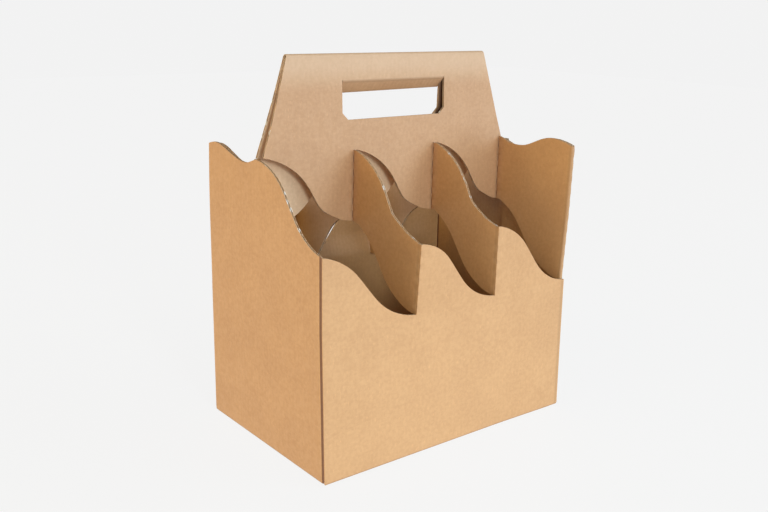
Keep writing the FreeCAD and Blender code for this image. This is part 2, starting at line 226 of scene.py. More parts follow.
HANDLE_ROOM = 8 * MM      # from here the end wall's edge is clear of the handle
TOP_SHARE = 0.8           # points above this share of the wall's height are on its top edge
END_MIDDLE = 186 * MM     # height of that edge at the handle
END_CREST = (24 * MM, 44 * MM)   # from the middle, an end wall's sunk crest begins and is full
LINING_CREST = (24 * MM, 46 * MM, 50 * MM, 66 * MM)   # the right lining's: begins, full, gone
HOLE_SHADE = (-3 * MM, 0, 9 * MM, 16 * MM)   # painted shade on the inner ply past the hand hole's end: begins, full, gone
HOLE_SHADE_UP = (8 * MM, 3 * MM)   # that painted shade past the hole's top and bottom: where it is gone, and full
TOP_FOLD_SHARE = 0.6            # how much of a full fold the top fold counts as, for crushing its flutes and darkening its paper
TOP_FOLD_REACH = 2 * MM   # how far below the fold it begins


# ---------------------------------------------------------------- outlines

def s_wave(at, high, low, s, slopes, level=0.0):
    """Height of an S-shaped edge: an arc, a straight and an arc.

    The edge falls from its high point to its low one, each a place and a height. The
    slopes are those of its two ends, and the last of its run may lie level.
    """
    way = math.copysign(1, low[0] - high[0])
    run = abs(low[0] - high[0]) - level
    rise = high[1] - low[1]
    first, last = slopes
    sines = math.sin(first) + math.sin(last)
    cosines = math.cos(first) + math.cos(last)
    radius = s.roundness * (run ** 2 + rise ** 2) / (2 * (rise * cosines - run * sines))
    crown = np.array([-radius * math.sin(first), -radius * math.cos(first)])
    hollow = np.array([run + radius * math.sin(last), radius * math.cos(last) - rise])
    between = hollow - crown
    turn = math.atan2(between[1], between[0])
    turn += math.acos(min(1.0, 2 * radius / math.hypot(*between)))
    spoke = radius * np.array([math.cos(turn), math.sin(turn)])
    above, below = crown + spoke, hollow - spoke
    along = np.clip(way * (np.asarray(at, float) - high[0]), 0, run)
    on_crown = crown[1] + np.sqrt(np.maximum(radius ** 2 - (along - crown[0]) ** 2, 0))
    on_hollow = hollow[1] - np.sqrt(np.maximum(radius ** 2 - (along - hollow[0]) ** 2, 0))
    steepness = (below[1] - above[1]) / max(below[0] - above[0], 0.001 * MM)
    straight = above[1] + steepness * (along - above[0])
    arcs = np.where(along > below[0], on_hollow, straight)
    return high[1] + np.where(along < above[0], on_crown, arcs)


def filleted(at, corners, radii):
    """Heights along a line with rounded corners; the corners and radii are in millimetres."""
    across, heights = np.array(corners, float).T * MM
    height = np.interp(at, across, heights)
    for corner, radius in enumerate(radii, 1):
        radius = radius * MM
        steps = np.diff(across[corner - 1:corner + 2]), np.diff(heights[corner - 1:corner + 2])
        before, after = np.arctan2(steps[1], steps[0])
        side = math.copysign(1, after - before)
        tangent = radius * math.tan(abs(after - before) / 2)
        start = across[corner] - tangent * math.cos(before)
        end = across[corner] + tangent * math.cos(after)
        centre = start - side * radius * math.sin(before)
        level = heights[corner] - tangent * math.sin(before) + side * radius * math.cos(before)
        drop = np.sqrt(np.maximum(radius ** 2 - (at - centre) ** 2, 0))
        height = np.where((at > start) & (at < end), level - side * drop, height)
    return height


def small_wave(across):
    """Height of the end wall's gentle wave, read from the frame's left end."""
    edge = {}
    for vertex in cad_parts[NODE].data.vertices:
        point = vertex.co
        if point.x < CAD_LOW.x + 0.1 * MM and point.y > HANDLE_ROOM:
            key = round(point.y, 5)
            edge[key] = max(edge.get(key, 0), point.z)
    tops = sorted((y, z) for y, z in edge.items() if z > TOP_SHARE * max(edge.values()))
    spots, heights = zip((0.0, END_MIDDLE), *tops)
    return np.interp(np.abs(across), spots, heights)


def soft_step(value, start, end):
    """0 up to the start and 1 from the end, with a soft rise between."""
    share = np.clip((value - start) / (end - start), 0, 1)
    return share * share * (3 - 2 * share)


def faded(value, start, full, end, gone):
    """0 up to the start, 1 from full to end, and 0 again where it is gone."""
    return soft_step(value, start, full) * soft_step(-value, -gone, -end)


def lining_top(y, s, rear):
    """Top of the ply that lines an end wall: the left one has sunk, the right one has moved."""
    if rear:
        return small_wave(y) - s.lining_lower
    crest = faded(-y, *LINING_CREST)
    return small_wave(-y + s.crest_back * crest) + s.crest_rise * crest


class Heights:
    """The heights that the outlines share, worked out from the sizes."""

    def __init__(self, s):
        self.wall_high = s.wall_low + s.wall_wave
        self.divider_high = self.wall_high + s.divider_wave
        self.hole_top = s.handle_top - s.hole_below
        self.hole_bottom = self.hole_top - s.hole_height
        self.top_bend = s.top_fold_inside + s.board / 2
        self.top_fold_centre = s.handle_top - s.top_fold_inside - s.board


def handle_middle(s, height):
    """How far from the middle plane the middle of a handle panel's board lies."""
    high = Heights(s)
    lean = s.handle_lean
    return high.top_bend / math.cos(lean) + (high.top_fold_centre - height) * math.tan(lean)


def divider_faces(s):
    """Where the dividers' left faces are, the one glued to the right end last."""
    faces = [cell * s.cell_pitch - s.half_length for cell in range(1, CELLS_PER_ROW)]
    glued = s.half_length - 3 * s.board - 2 * s.glue_gap
    return faces + [glued]


# ---------------------------------------------------------------- folded sheets

CREASE_WIDTH = 0.8        # in mm, a scored crease at its full depth
CREASE_FADE = 0.5         # in mm, how fast it fades past that
CREASE_REACH = 0.3        # share of a sharp fold that the crease runs on into
SLIT_LEVEL = 0.15         # of a wave along the fold: it is a slit above this
SLIT_HARDNESS = 7         # how suddenly a slit ends
SLIT_SHADE = 0.25         # how much painted shade a slit gets, beside a scored crease
LOBE_SLIT = 0.6           # how open the slits are at a lobe's fold, beside a wall's
LINING_SLIT = 0.9         # and at the lining's tight fold
LOBE_CREASE = 0.3         # how deep a lobe's fold is creased, beside a corner


def stations(stops, spacing):
    """Places from the first stop to the last, every stop among them, evenly spaced."""
    runs = []
    for start, end in zip(stops, stops[1:]):
        count = max(1, round(abs(end - start) / spacing))
        runs.append(np.linspace(start, end, count, endpoint=False))
    return np.concatenate(runs + [[stops[-1]]])


class Strip:
    """Stations along a board that stands on edge, seen from above.

    Each has its place in the middle of the board, the way that its outer face looks,
    its place across the flutes, how much of a fold it is in, how deep the outer liner
    is creased there, how much of the handle's lean it follows, how much of a perforated
    fold it is, and how far a sharp fold's outer liner stands out.
    """

    def __init__(self, ply, s):
        self.fold_steps = FOLD_STEPS // 2 if ply == FLUTING else FOLD_STEPS
        self.spacing = column_step(ply, s)
        self.skin = s.board / 2
        self.sharpness = s.fold_sharpness
        self.columns = []

    def run(self, axis, fixed, stops, out, pull=(0, 0), crease=0):
        """A straight run along x (axis 0) or y (axis 1), between its stops."""
        first, last = stops[0], stops[-1]
        for at in stations(list(stops), self.spacing):
            place = (at, fixed) if axis == 0 else (fixed, at)
            share = (at - first) / (last - first)
            lean = pull[0] + (pull[1] - pull[0]) * share
            self.add(place, out, at, 0, crease_at(crease, abs(last - at)), lean)

    def turn(self, centre, radius, start, end, outward=1, pull=0, slit=0, crease=0,
             sharp=False):
        """A fold round a centre, from one angle to another in degrees.

        In a sharp fold the outer liner stands out towards a square corner.
        """
        for step in range(self.fold_steps + 1):
            share = step / self.fold_steps
            at = math.radians(start + (end - start) * share)
            spoke = (math.cos(at), math.sin(at))
            place = (centre[0] + radius * spoke[0], centre[1] + radius * spoke[1])
            out = (outward * spoke[0], outward * spoke[1])
            # The crease's depth here, which sinks the outer liner and also sets the painted
            # shade in the crease
            dent_and_painted_shade = crease * math.sin(math.pi * share)
            stand = 0
            fold_share = 1
            if sharp:
                corner = 1 / max(math.cos(share * math.pi / 2), math.sin(share * math.pi / 2))
                stand = self.sharpness * (radius + self.skin) * (corner - 1)
                fold_share = 1 - share
                dent_and_painted_shade = crease if share < CREASE_REACH else 0
            self.add(place, out, 0, fold_share, dent_and_painted_shade, pull, slit * math.sin(math.pi * share), stand)

    def add(self, place, out, along, fold, crease, lean, slit=0, stand=0):
        """A station. One that lies on the last replaces it and keeps the deeper crease."""
        if self.columns and math.dist(self.columns[-1][:2], place) < WELD / 4:
            replaced = self.columns.pop()
            along = along if fold == 0 else replaced[ALONG]
            crease = max(crease, replaced[CREASE])
        self.columns.append((*place, *out, along, fold, crease, lean, slit, stand))

    def part(self, keep):
        """The stations that pass a test on their x and y."""
        chosen = copy.copy(self)
        chosen.columns = [c for c in self.columns if keep(c[0], c[1])]
        return chosen

    def table(self):
        """The stations' values, with a row for each kind."""
        return np.array(self.columns).T


def crease_at(depth, distance):
    """How deep a scored crease is, so far from where the fold begins."""
    past = max(0, distance / MM - CREASE_WIDTH)
    return depth * math.exp(-(past / CREASE_FADE) ** 2)


def slits(height, s):
    """1 in a perforated fold's slits and 0 between them, with soft ends."""
    wave = np.cos(2 * math.pi * height / s.slit_pitch)
    return 1 / (1 + np.exp(-(wave - SLIT_LEVEL) * SLIT_HARDNESS))


class Surface:
    """The middle of a board laid out in rows and columns, with what its plies need."""

    def __init__(self, middle, out, along, fold, sunk, pull=0.0, dent_and_painted_shade=0.0):
        shape = middle.shape[:2]
        self.middle = middle
        self.out = out / np.linalg.norm(out, axis=2, keepdims=True)
        self.along = np.broadcast_to(along, shape)
        self.fold = np.broadcast_to(fold, shape)
        self.sunk = np.broadcast_to(sunk, shape)
        self.pull = np.broadcast_to(pull, shape)
        self.dent_and_painted_shade = np.broadcast_to(dent_and_painted_shade, shape)


def standing(strip, bottom, top, rows, s, fold_heights=None):
    """A strip run up between two outlines, each a height for every station."""
    x, y, out_x, out_y, along, fold, crease, lean, slit, stand = strip.table()
    share = np.linspace(0, 1, rows + 1)[:, None]
    z = bottom + (top - bottom) * share + 0 * x
    hinge = z
    if fold_heights is not None:
        hinge = fold_heights[0] + (fold_heights[1] - fold_heights[0]) * share
        hinge = np.where(fold_heights[2], z, hinge)
    shift = handle_middle(s, hinge) - handle_middle(s, Heights(s).divider_high)
    middle = np.stack([x + 0 * z, y - lean * shift, z], axis=2)
    tilt = math.sin(s.handle_lean) * (lean > ON_HANDLE)
    out = np.stack([out_x + 0 * z, out_y + 0 * z, -out_y * tilt + 0 * z], axis=2)
    slit = slit * slits(z, s)
    sunk = crease - stand + slit * s.slit_depth
    # Painted shade, darker in a scored crease and in the slits
    dent_and_painted_shade = crease / s.score_depth + SLIT_SHADE * slit
    return Surface(middle, out, along, fold, sunk, lean, dent_and_painted_shade)


def walled(strip, top, s, spacing, steps):
    """A strip from the rounded bottom edge up to one level height."""
    x, y, out_x, out_y, along, fold, crease, _, _, stand = strip.table()
    bend = s.fold_inside + s.board / 2
    corner = s.fold_inside + s.board
    turns = np.radians(np.linspace(90, 0, steps + 1))[:-1]
    heights = stations([corner, top], spacing)
    turn = np.concatenate([turns, 0 * heights])[:, None]
    level = np.concatenate([corner + 0 * turns, heights])[:, None]
    reach = bend * (np.cos(turn) - 1)
    middle = np.stack(
        [x + out_x * reach, y + out_y * reach, level - bend * np.sin(turn) + 0 * x], axis=2)
    out = np.stack(
        [out_x * np.cos(turn), out_y * np.cos(turn), -np.sin(turn) + 0 * x], axis=2)
    fold = np.maximum(fold, turn > 0)
    sunk = crease - stand * np.cos(turn) ** 2
    # Painted shade in the scored crease, as deep as the crease is
    return Surface(middle, out, along, fold, sunk, dent_and_painted_shade=crease / s.score_depth)


def carried(x, y, z, out_y, out_z):
    """A profile in y and z, with the ways that its outer face looks, carried along x."""
    flat = 0 * x
    middle = np.stack([x + 0 * z[:, None], y[:, None] + flat, z[:, None] + flat], axis=2)
    out = np.stack([0 * middle[:, :, 0], out_y[:, None] + flat, out_z[:, None] + flat], axis=2)
    return middle, out


def row_step(ply):
    """Height of a row of a ply's faces."""
    return FLUTE_ROW_STEP if ply == FLUTING else ROW_STEP


def column_step(ply, s):
    """Width of a column of a ply's faces."""
    return s.flute_pitch / FLUTE_FACES if ply == FLUTING else s.flute_pitch


def fold_stops(start, end, near):
    """Stops of a run that ends in folds, closer together beside them."""
    way = math.copysign(1, end - start)
    before = [start + way * step for step in near]
    after = [end - way * step for step in reversed(near)]
    return [start] + before + after + [end]


def front_stops(s, near=()):
    """Stops along the front, from the left corner's fold to the right one's."""
    corner = s.fold_inside + s.board
    start = corner - s.half_length
    stops = [start] + [start + step for step in near]
    for face in divider_faces(s)[:-1]:
        stops += [face, face + corner]
    return stops + [s.half_length - s.board - corner]


def front_wrap(ply, s):
    """The left end wall, the corner, the front wall and the fold to its glue flap."""
    bend = s.fold_inside + s.board / 2
    corner = s.fold_inside + s.board
    end_x = s.board / 2 - s.half_length
    wall_y = s.board / 2 - s.half_depth
    straight_y = corner - s.half_depth
    near = [] if ply == FLUTING else [step * MM for step in CREASE_STEPS]
    stops = front_stops(s, near)
    strip = Strip(ply, s)
    rear = s.half_depth - s.end_setback
    strip.run(1, end_x, fold_stops(rear, straight_y, near), (-1, 0), crease=s.score_depth)
    strip.turn((stops[0], straight_y), bend, 180, 270, sharp=True, crease=s.score_depth)
    strip.run(0, wall_y, stops, (0, -1))
    strip.turn((stops[-1], straight_y), bend, 270, 360, sharp=True)
    return strip


def lower_walls(ply, s):
    """The front wrap up to the height where the waves begin."""
    steps = BOTTOM_STEPS // 2 if ply == FLUTING else BOTTOM_STEPS
    return walled(front_wrap(ply, s), s.wall_low, s, row_step(ply), steps)


def lower_glue_flap(ply, s):
    """The lower part of the flap glued to the right end wall."""
    high = Heights(s)
    flap_x = s.half_length - 1.5 * s.board - s.glue_gap / 2
    straight_y = s.fold_inside + s.board - s.half_depth
    back = -handle_middle(s, high.wall_high) - s.fold_inside - s.board
    strip = Strip(ply, s)
    strip.run(1, flap_x, [straight_y, back], (1, 0))
    bottom = s.board + s.glue_gap
    rows = round((s.wall_low - bottom) / row_step(ply))
    return standing(strip, bottom, s.wall_low, rows, s)


def left_upper_wall(ply, s, end_drop):
    """The left end wall above the waves' low point, with the first cell's wave."""
    high = Heights(s)
    first = divider_faces(s)[0]
    strip = front_wrap(ply, s).part(lambda x, y: x < first + WELD)
    x, y = strip.table()[:2]
    big = s_wave(y, (s.end_shift, high.divider_high),
                 (s.end_level - s.half_depth, high.wall_high), s, s.end_slopes)
    crest = end_drop + s.crest_lower * soft_step(y, *END_CREST)
    end_top = np.where(y > s.end_shift, small_wave(y) - crest, big)
    wall_top = s_wave(x, (-s.half_length, high.wall_high), (first, s.wall_low),
                      s, s.wall_slopes)
    on_wall = x > 0.1 * MM - s.half_length + s.board / 2
    top = np.where(on_wall, wall_top, end_top)
    rows = round((high.divider_high - s.wall_low) / row_step(ply))
    return standing(strip, s.wall_low, top, rows, s)


def divider_strip(ply, cell, s):
    """A handle lobe, its fold, a divider, its fold and the next cell's wall, in turn."""
    high = Heights(s)
    faces = divider_faces(s)
    bend = s.fold_inside + s.board / 2
    corner = s.fold_inside + s.board
    middle = faces[cell] + s.board / 2
    panel_y = -handle_middle(s, high.divider_high)
    start = s.board + s.handle_clearance - s.half_length
    if cell > 0:
        start = faces[cell - 1] + s.board / 2 - bend
    strip = Strip(ply, s)
    lobe = [at for at in handle_stops(s) if start - WELD < at < middle - bend - WELD]
    strip.run(0, panel_y, lobe + [middle - bend], (0, -1), pull=(1, 1))
    strip.turn((middle - bend, panel_y - bend), bend, 90, 0, -1, pull=1, slit=LOBE_SLIT,
               crease=LOBE_CREASE * s.score_depth)
    if cell == CELLS_PER_ROW - 1:
        fold = (s.board + s.glue_gap) / 2
        turn_y = s.lining_setback + s.board - s.half_depth
        back = -handle_middle(s, high.wall_high) - corner
        strip.run(1, middle, [panel_y - bend, turn_y], (-1, 0), pull=(1, 0))
        strip.turn((middle + fold, turn_y), fold, 180, 360, slit=LINING_SLIT)
        strip.run(1, middle + 2 * fold, [turn_y, back], (1, 0))
        return strip
    straight_y = corner - s.half_depth
    strip.run(1, middle, [panel_y - bend, straight_y], (-1, 0), pull=(1, 0))
    strip.turn((middle + bend, straight_y), bend, 180, 270, slit=1, sharp=True)
    end = faces[cell + 1] if cell + 2 < CELLS_PER_ROW else s.half_length - s.board - corner
    strip.run(0, s.board / 2 - s.half_depth, [middle + bend, end], (0, -1))
    return strip


def divider(ply, cell, s, rear):
    """A divider with the handle lobe before it and the wall or glue flap after it."""
    high = Heights(s)
    faces = divider_faces(s)
    corner = s.fold_inside + s.board
    strip = divider_strip(ply, cell, s)
    x, y = strip.table()[:2]
    lean = strip.table()[LEAN]
    fold_x = faces[cell] - s.fold_inside
    back = -handle_middle(s, high.divider_high) - corner
    low_back = -handle_middle(s, high.wall_high) - corner
    front = corner + s.board / 2 - s.half_depth
    on_lobe = (lean > ON_HANDLE) & (x <= fold_x + WELD)
    on_wall = (lean == 0) & (x > faces[cell] + s.board)
    if rear:
        lobe_end = high.wall_high
        lobe_bottom = s_wave(x, (x[0], high.divider_high), (fold_x, lobe_end),
                             s, s.lobe_slopes, s.level_end)
        slab_top = s_wave(y, (back, high.divider_high), (front, high.wall_high),
                          s, s.upper_slopes)
    else:
        middle = (cell + 0.5) * s.cell_pitch - s.half_length + s.lobe_shift
        lobe_end = float(filleted(np.array([fold_x - middle]), LOBE_FALL, LOBE_RADII)[0])
        lobe_bottom = np.minimum(filleted(x - middle, LOBE_FALL, LOBE_RADII), high.divider_high)
        slab_top = filleted(-y, DIVIDER_FALL, DIVIDER_RADII)
    slab_bottom = s_wave(y, (low_back, lobe_end), (front, s.wall_low),
                         s, s.lower_slopes, s.level_end)
    bottom = np.where(on_lobe, lobe_bottom, np.where(on_wall, s.wall_low, slab_bottom))
    if cell == CELLS_PER_ROW - 1:
        top = np.where(on_lobe | (y > back), high.divider_high, lining_top(y, s, rear))
    else:
        end = faces[cell + 1] if cell + 2 < CELLS_PER_ROW else s.half_length - s.board
        wall_top = s_wave(x, (faces[cell] + corner, high.wall_high), (end, s.wall_low),
                          s, s.wall_slopes)
        top = np.where(on_lobe, high.divider_high, np.where(on_wall, wall_top, slab_top))
    rows = FLUTE_ROWS if ply == FLUTING else PERFORATED_ROWS
    fold_heights = (high.wall_high, high.divider_high, on_lobe)
    return standing(strip, bottom, top, rows, s, fold_heights)


def handle_stops(s):
    """Where the handle panel's columns stop, the same seen from either side."""
    start = s.board + s.handle_clearance - s.half_length
    folds = [face - s.fold_inside for face in divider_faces(s)]
    stops = [abs(at) for at in [start] + folds]
    return sorted({round(at, 6) for stop in stops for at in (-stop, stop)})


def handle_panel(ply, s):
    """The front handle panel, from the waves' high point to the middle of the top fold."""
    high = Heights(s)
    lean = s.handle_lean
    x = stations(handle_stops(s), column_step(ply, s))
    heights = stations([high.divider_high, high.top_fold_centre], row_step(ply))
    turns = np.linspace(lean, math.pi / 2, TOP_FLUTE_ROWS if ply == FLUTING else TOP_ROWS)
    y = np.concatenate([-handle_middle(s, heights), -high.top_bend * np.cos(turns)])
    arc_z = high.top_fold_centre + high.top_bend * np.sin(turns)
    z = np.concatenate([heights, arc_z])
    tilt = np.concatenate([lean + 0 * heights, turns])
    middle, out = carried(x, y, z, -np.cos(tilt), np.sin(tilt))
    fold = np.clip((z - high.top_fold_centre) / TOP_FOLD_REACH + 1, 0, 1)[:, None]
    # Painted shade on the inner ply beside the hand hole's ends, where the gap between the
    # panels is dark
    beside = faded(abs(x), *(s.hole_width / 2 + past for past in HOLE_SHADE))
    gone, full = HOLE_SHADE_UP
    level = faded(z, high.hole_bottom - gone, high.hole_bottom - full,
                  high.hole_top + full, high.hole_top + gone)
    dent_and_painted_shade = beside * level[:, None] if ply == INNER else 0.0
    return Surface(middle, out, x, TOP_FOLD_SHARE * fold, 0, 1.0, dent_and_painted_shade)


def hinge_height(s):
    """Height where the front panel's board begins to turn into the hand flap."""
    turn = math.pi / 2 - s.flap_slope + s.handle_lean
    return Heights(s).hole_top + (s.fold_inside + s.board / 2) * math.tan(turn / 2)


def hand_flap(ply, s):
    """The hand hole's flap: back and down through both panels, then turned up."""
    bend = s.fold_inside + s.board / 2
    left, right = s.kerf - s.hole_width / 2, s.hole_width / 2 + s.hole_wider - s.kerf
    root_z = hinge_height(s)
    inside = [at for at in stations(handle_stops(s), column_step(ply, s))
              if left + WELD < at < right - WELD]
    x = np.array([left] + inside + [right])
    here = np.array([-handle_middle(s, root_z), root_z])
    first = math.pi - s.handle_lean
    second = 1.5 * math.pi - s.flap_slope
    third = 2 * math.pi - s.flap_lean
    half_first, half_second = math.tan((second - first) / 2), math.tan((third - second) / 2)
    falling = s.flap_reach - bend * (half_first + half_second)
    turned_up = s.hole_height - s.kerf - s.flap_reach - bend * half_second
    points, ways, folds = [here], [first], [1]
    for before, after, reach in ((first, second, falling), (second, third, turned_up)):
        centre = here - bend * np.array([math.cos(before), math.sin(before)])
        for way in np.linspace(before, after, FLAP_FOLD_STEPS + 1)[1:]:
            points.append(centre + bend * np.array([math.cos(way), math.sin(way)]))
            ways.append(way)
            folds.append(1)
        ahead = np.array([-math.sin(after), math.cos(after)])
        start = points[-1]
        for row in range(1, FLAP_ROWS + 1):
            points.append(start + ahead * reach * (row / FLAP_ROWS))
            ways.append(after)
            folds.append(0)
        here = points[-1]
    y, z = np.array(points[::-1]).T
    way = np.array(ways[::-1])
    middle, out = carried(x, y, z, np.cos(way), np.sin(way))
    fold = np.array(folds[::-1])[:, None]
    fallen = np.clip((y - y[-1]) / s.flap_reach, 0, 1)[:, None]
    middle[:, :, 2] -= s.flap_sag * fallen * (right - x) / (right - left)
    return Surface(middle, out, x, fold, 0, 1.0)


def floor_panel(ply, s):
    """The front half of the floor, from the seam in the middle to the front wall."""
    corner = s.fold_inside + s.board
    x = stations(front_stops(s) + [s.half_length - corner], column_step(ply, s))
    y = stations([-s.floor_seam / 2, corner - s.half_depth], row_step(ply))
    level = 0 * y
    middle, out = carried(x, y, level + s.board / 2, level, level - 1)
    return Surface(middle, out, x, 0, 0)


# ---------------------------------------------------------------- how the board has settled

FRONT_FADE = (-0.1, 0.85)   # shares of the half depth: where the front begins and is full
LEFT_FADE = (0.2, 0.5)      # share of the half length where the left begins, and with pull
RIGHT_FADE = (0.35, 0.96)   # shares of the half length: where the right begins and is full
WALL_FADE = 0.72            # share of the half depth where a long wall's bow begins
FOOT_SHARE = 0.75           # share of the left corner's push that its foot has
RISE_FADE = (188 * MM, 206 * MM)   # the front lobes' rise fades out between these heights
REAR_DROP_RATE, REAR_DROP_MOST = 2.6, 1.4   # the rear lobes sit aside sooner and further
LIP_SHARE = 0.22            # share of a wall's bow that is reached below the waves
SECOND_FOLD_SHARE = 0.19    # the second fold's bow, as a share of the first one's
FIRST_FOLD_REACH, SECOND_FOLD_REACH = 22 * MM, 20 * MM   # how far each one's bow spreads
FIRST_FOLD_SUNK, RIGHT_CORNER_SUNK = 1.6 * MM, 1.0 * MM
REAR_LIP = 18 * MM          # the rear wall's bow comes in over this height
REAR_BOW_LEFT = (-24 * MM, -8 * MM)   # where it begins along the wall and is full
REAR_BOW_RIGHT = (4 * MM, 40 * MM)    # how far from the right end it is gone and full
FLARE_POWER = 1.7           # the right end leans out more, the higher it is
HANDLE_WAVER = 0.4 * MM     # depth of the handle's long shallow wave
WAVER_RATE, WAVER_START = 27, 0.9   # in radians a metre, and in radians
HANDLE_BLEND = 40 * MM      # height over which it comes in


def settle(points, pull, s):
    """Real board isn't true: walls bow, corners give and the handle sits askew.

    Pull is how much each point goes with the handle: 1 on it, less along a divider.
    """
    x, y, z = points.T
    high = Heights(s)
    moved = points.copy()
    front = soft_step(-y, *(share * s.half_depth for share in FRONT_FADE))
    left = soft_step(-x, (LEFT_FADE[0] + LEFT_FADE[1] * pull) * s.half_length, s.half_length)
    over_walls = soft_step(z, high.wall_high, s.handle_top)
    below_top = soft_step(-z, -s.handle_top, -high.wall_high)
    pushed = (FOOT_SHARE + (1 - FOOT_SHARE) * z / high.wall_high) * (1 - over_walls)
    moved[:, 0] -= s.corner_left * left * pushed
    moved[:, 1] -= s.foot_out * front * np.clip(1 - z / s.wall_low, 0, 1)
    moved[:, 1] += s.rear_spread * left * pull * (y > 0) * below_top
    moved[:, 1] += s.handle_back * pull
    moved[:, 2] += s.lobe_rise * pull * (y < 0) * (1 - soft_step(z, *RISE_FADE))
    dropped = np.clip((high.divider_high - z) / s.divider_wave, 0, 1)
    rear_dropped = np.minimum(REAR_DROP_MOST, REAR_DROP_RATE * dropped)
    moved[:, 0] += s.handle_twist * pull * np.where(y < 0, -dropped, rear_dropped)
    settle_walls(moved, points, front, s)
    handle = soft_step(z, high.divider_high, high.divider_high + HANDLE_BLEND)
    moved[:, 1] += HANDLE_WAVER * handle * np.sin(x * WAVER_RATE + WAVER_START)
    return moved


def settle_walls(moved, points, front, s):
    """Bow the long walls between their corners and lean the right end out."""
    x, y, z = points.T
    high = Heights(s)
    first, second = divider_faces(s)[:-1]
    at_front = soft_step(-y, WALL_FADE * s.half_depth, s.half_depth)
    at_rear = soft_step(y, WALL_FADE * s.half_depth, s.half_depth)
    on_wave = np.clip((z - s.wall_low) / s.wall_wave, 0, 1)
    lip = LIP_SHARE * soft_step(z, 0.5 * s.wall_low, s.wall_low) + (1 - LIP_SHARE) * on_wave
    near_first = np.exp(-((x - first) / FIRST_FOLD_REACH) ** 2)
    near_second = np.exp(-((x - second) / SECOND_FOLD_REACH) ** 2)
    bow = near_first + SECOND_FOLD_SHARE * near_second
    moved[:, 1] -= s.wall_bulge * bow * lip * at_front
    rear_lip = soft_step(z, s.wall_low, s.wall_low + REAR_LIP)
    rear_lip *= soft_step(x, *REAR_BOW_LEFT) * soft_step(s.half_length - x, *REAR_BOW_RIGHT)
    moved[:, 1] += s.rear_bulge * rear_lip * at_rear
    up_wave = soft_step(z, s.wall_low, high.wall_high)
    moved[:, 2] -= FIRST_FOLD_SUNK * near_first * at_front * up_wave
    right = soft_step(x, *(share * s.half_length for share in RIGHT_FADE))
    risen = np.clip(z / high.wall_high, 0, 1) ** FLARE_POWER
    moved[:, 0] += s.end_flare * right * front * risen
    upper = np.clip((z - s.wall_low) / s.wall_low, 0, 1)
    moved[:, 1] -= s.corner_forward * right * front * (0.5 + upper)
    moved[:, 2] -= RIGHT_CORNER_SUNK * right * front * up_wave


# ---------------------------------------------------------------- laying the plies

def only(piece):
    """Make a piece the active object and the only one selected."""
    bpy.ops.object.select_all(action="DESELECT")
    piece.select_set(True)
    bpy.context.view_layer.objects.active = piece


def edit_faces(piece, change):
    """Make a change to all of a piece's faces in edit mode."""
    only(piece)
    bpy.ops.object.mode_set(mode="EDIT")
    bpy.ops.mesh.select_all(action="SELECT")
    change()
    bpy.ops.object.mode_set(mode="OBJECT")


def lay(surface, ply, s):
    """A flat grid of faces laid on a surface as one of the board's plies."""
    rows, columns = surface.middle.shape[:2]
    bpy.ops.object.select_all(action="DESELECT")
    bpy.ops.mesh.primitive_grid_add(
        x_subdivisions=columns - 1, y_subdivisions=rows - 1, size=s.board)
    sheet = bpy.context.active_object
    if ply == OUTER:
        offset = s.board / 2 - surface.sunk
    elif ply == INNER:
        offset = np.full((rows, columns), -s.board / 2)
    else:
        room = (s.board - s.medium) / 2 - s.liner
        crushed = 1 - FLUTE_CRUSH * surface.fold
        offset = room * crushed * np.sin(2 * math.pi * surface.along / s.flute_pitch)
    points = surface.middle + surface.out * offset[..., None]
    if len(sheet.data.vertices) != rows * columns:
        raise RuntimeError("the grid has the wrong number of points")
    sheet.data.vertices.foreach_set("co", points.astype(np.float32).ravel())
    # Values that the papers read; the last one is painted shade
    for name, values in (("along", surface.along), ("fold", surface.fold),
                         ("pull", surface.pull), ("dent_and_painted_shade", surface.dent_and_painted_shade)):
        layer = sheet.data.attributes.new(name, "FLOAT", "POINT")
        layer.data.foreach_set("value", values.astype(np.float32).ravel())
    if ply == INNER:
        edit_faces(sheet, bpy.ops.mesh.flip_normals)
    return sheet


def cut(sheet, point, normal, clear=False):
    """Cut a sheet along a plane, and drop what is past it if asked."""
    edit_faces(sheet, lambda: bpy.ops.mesh.bisect(
        plane_co=point, plane_no=normal, clear_outer=clear, threshold=1e-7))


def delete_faces(sheet, chosen):
    """Delete the faces whose middles pass a test."""
    only(sheet)
    bpy.ops.object.mode_set(mode="EDIT")
    bpy.ops.mesh.select_all(action="DESELECT")
    bpy.ops.object.mode_set(mode="OBJECT")
    for face in sheet.data.polygons:
        face.select = chosen(face.center)
    bpy.ops.object.mode_set(mode="EDIT")
    bpy.ops.mesh.select_mode(type="FACE")
    bpy.ops.mesh.delete(type="FACE")
    bpy.ops.object.mode_set(mode="OBJECT")


def trim_panel(sheet, s):
    """Cut the handle panel's leaning ends."""
    high = Heights(s)
    left_foot = s.board + s.handle_clearance - s.half_length
    right_foot = s.half_length - 2 * s.board
    rise = s.handle_top - high.divider_high
    top = s.half_length - s.handle_taper
    left_run = -top - s.handle_slip - left_foot
    right_run = right_foot - (top - s.handle_slip)
    cut(sheet, (left_foot, 0, high.divider_high), (-rise, 0, left_run), clear=True)
    cut(sheet, (right_foot, 0, high.divider_high), (rise, 0, right_run), clear=True)


